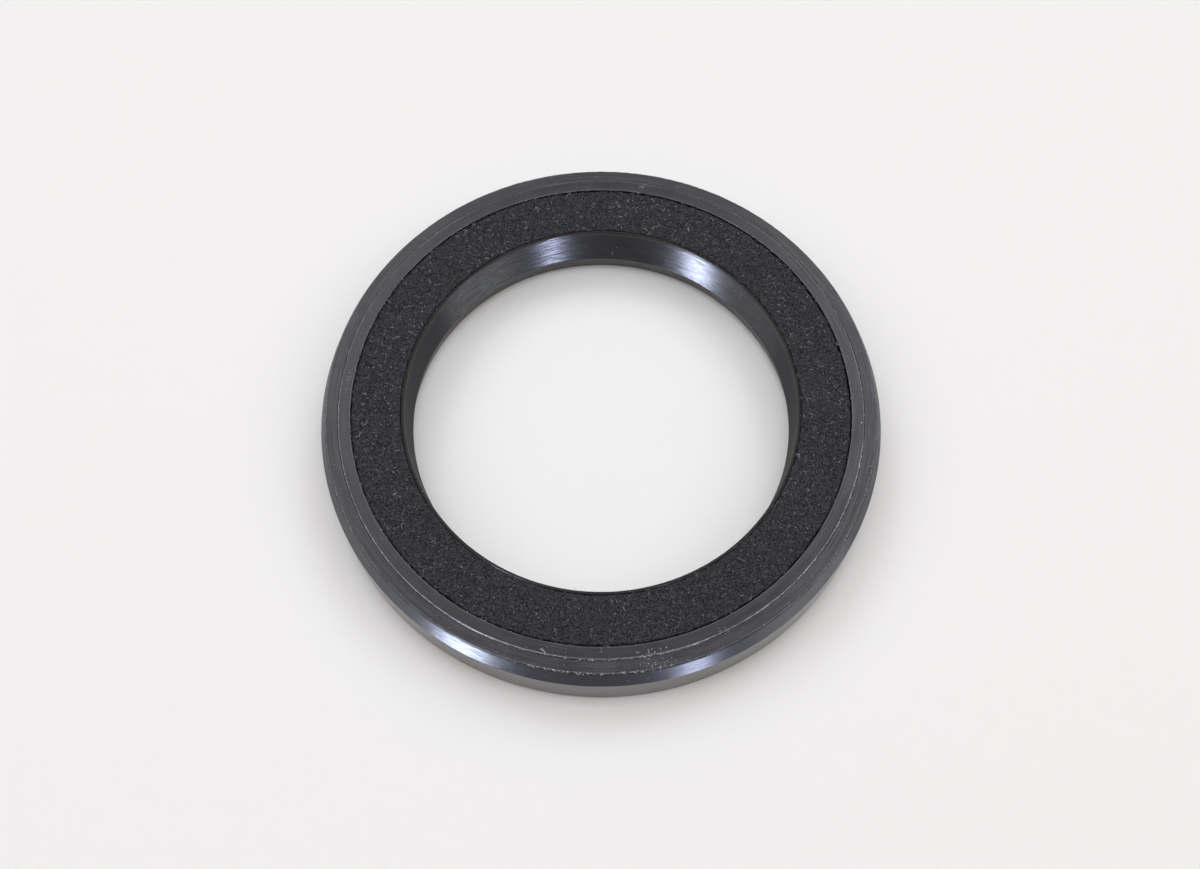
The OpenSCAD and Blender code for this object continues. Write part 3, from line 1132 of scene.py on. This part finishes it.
coil = grown(
    "wound_garter_spring",
    bpy.data.meshes.new("coil_seed"),
    COIL_TREE,
    {
        "Turns": COIL_TURNS,
        "Steps": COIL_STEPS,
        "Ring Radius": SPRING_R,
        "Coil Radius": (SPRING_D - WIRE_D) / 2,
        "Height": SPRING_Z,
        "Wire Radius": WIRE_D / 2,
        "Material": SPRING_STEEL,
    },
)
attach(coil, "root")
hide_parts("garter_spring")

for fibre_name, fibre_seed, low, high in (
    ("inner_felt_fibres", SEED, FELT_INNER_R + 0.14 * MM, FELT_MIDDLE_R),
    ("outer_felt_fibres", SEED + 1, FELT_MIDDLE_R, FELT_OUTER_R - 0.04 * MM),
):
    fibres = felt_fibres(fibre_name, fibre_seed, low, high)
    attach(fibres, "root")

hairs = stray_fibres()
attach(hairs, "root")

crumbs = pale_crumbs()
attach(crumbs, "root")

# Floor, lamps and camera
FLOOR_COLOUR = (0.84, 0.838, 0.834)
FLOOR_SIZE = 6.0
COOL_WHITE = (0.925, 0.945, 1.0)
SOFT_WHITE = (0.955, 0.975, 1.0)
ROOM_COLOUR = (1.0, 0.83, 0.65)
PANEL_WHITE = (0.9, 0.94, 1.0)
ROOM_STRENGTH = 0.2
LAMP_DISTANCE = 1.5
BACK_BOX = (0.6, 0.7)
SIDE_BOX = (0.7, 0.9)
TOP_BOX = (0.7, 0.55)
LAMP_PANEL = (0.9, 0.53)

# Soft boxes: name, place in metres, size, power in watts, colour and whether glossy rubber mirrors them
SOFT_BOXES = [
    ("left_back_box", (-0.5, 0.7, 1.2), BACK_BOX, 4.6, COOL_WHITE, True),
    ("left_side_box", (-0.9, 0.0, 1.1), SIDE_BOX, 4.0, SOFT_WHITE, False),
    ("right_back_box", (0.5, 0.7, 1.2), BACK_BOX, 4.6, COOL_WHITE, True),
    ("right_side_box", (0.9, -0.1, 1.1), SIDE_BOX, 4.4, SOFT_WHITE, False),
    ("top_box", (0.0, -0.03, 1.2), TOP_BOX, 4.5, SOFT_WHITE, False),
]

# Gloss lamps: name, azimuth, elevation, size, power in watts and colour
GLOSS_LAMPS = [
    ("left_lamp", -46.2, 43.5, (0.27, 0.27), 15.5, (0.68, 0.76, 1.0)),
    ("right_lamp", 27, 46, (0.13, 0.13), 4.8, (0.63, 0.7, 1.0)),
    ("left_panel", -75, 38, LAMP_PANEL, 1.6, PANEL_WHITE),
    ("right_panel", 62, 38, LAMP_PANEL, 3.5, PANEL_WHITE),
]


def pale_floor():
    """The plain floor under the part."""
    half = FLOOR_SIZE / 2
    mesh = bpy.data.meshes.new("pale_floor")
    corners = [(-half, -half, 0), (half, -half, 0), (half, half, 0), (-half, half, 0)]
    mesh.from_pydata(corners, [], [(0, 1, 2, 3)])
    floor = bpy.data.objects.new("pale_floor", mesh)
    bpy.context.scene.collection.objects.link(floor)
    material = bpy.data.materials.new("pale_floor")
    material.use_nodes = True
    shader = material.node_tree.nodes["Principled BSDF"]
    shader.inputs["Base Color"].default_value = (*FLOOR_COLOUR, 1.0)
    shader.inputs["Roughness"].default_value = 0.6
    shader.inputs["Specular IOR Level"].default_value = 0.3
    mesh.materials.append(material)


def area_light(name, size, power, colour):
    """A flat lamp at the origin."""
    data = bpy.data.lights.new(name, "AREA")
    data.shape = "RECTANGLE"
    data.size, data.size_y = size
    data.energy = power
    data.color = colour
    light = bpy.data.objects.new(name, data)
    bpy.context.scene.collection.objects.link(light)
    return light


def softbox(name, place, size, power, colour, sheen):
    """A large soft light that faces the part; sheen tells whether glossy rubber mirrors it."""
    light = area_light(name, size, power, colour)
    light.location = place
    light.visible_glossy = sheen
    light.rotation_euler = Vector(place).to_track_quat("Z", "Y").to_euler()


def gloss_lamp(name, azimuth, elevation, size, power, colour):
    """A lamp that only shows as a sheen on glossy rubber; azimuth 0 is in front and 90 to the right."""
    light = area_light(name, size, power, colour)
    light.data.shape = "ELLIPSE"
    light.visible_diffuse = False
    a, e = math.radians(azimuth), math.radians(elevation)
    way = Vector((math.sin(a) * math.cos(e), -math.cos(a) * math.cos(e), math.sin(e)))
    light.location = way * LAMP_DISTANCE
    light.rotation_euler = way.to_track_quat("Z", "Y").to_euler()


def camera():
    """The photograph's view: focal length in pixels of a frame 1200 wide, and the point it looks at."""
    focal_px, frame_px = 1350.0, 1200.0
    distance = 237.35 * MM
    elevation, roll = math.radians(66.4), math.radians(-0.25)
    target = Vector((-0.19 * MM, -6.27 * MM, 11.72 * MM))
    data = bpy.data.cameras.new("photo_camera")
    data.sensor_width = 36.0
    data.lens = focal_px / frame_px * data.sensor_width
    data.clip_start = 0.01
    data.clip_end = 20.0
    view = bpy.data.objects.new("photo_camera", data)
    bpy.context.scene.collection.objects.link(view)
    ahead = Vector((0.0, math.cos(elevation), -math.sin(elevation)))
    right = Vector((1.0, 0.0, 0.0))
    up = right.cross(ahead)
    side = right * math.cos(roll) + up * math.sin(roll)
    top = up * math.cos(roll) - right * math.sin(roll)
    turn = Matrix((side, top, -ahead)).transposed().to_4x4()
    turn.translation = target - ahead * distance
    view.matrix_world = turn
    bpy.context.scene.camera = view


def soft_world():
    """The dim warm room around the part."""
    world = bpy.data.worlds.new("soft_room")
    world.use_nodes = True
    back = world.node_tree.nodes["Background"]
    back.inputs["Color"].default_value = (*ROOM_COLOUR, 1.0)
    back.inputs["Strength"].default_value = ROOM_STRENGTH
    bpy.context.scene.world = world


pale_floor()
soft_world()
for box in SOFT_BOXES:
    softbox(*box)
for lamp in GLOSS_LAMPS:
    gloss_lamp(*lamp)
camera()
bpy.context.scene.view_settings.view_transform = "Standard"
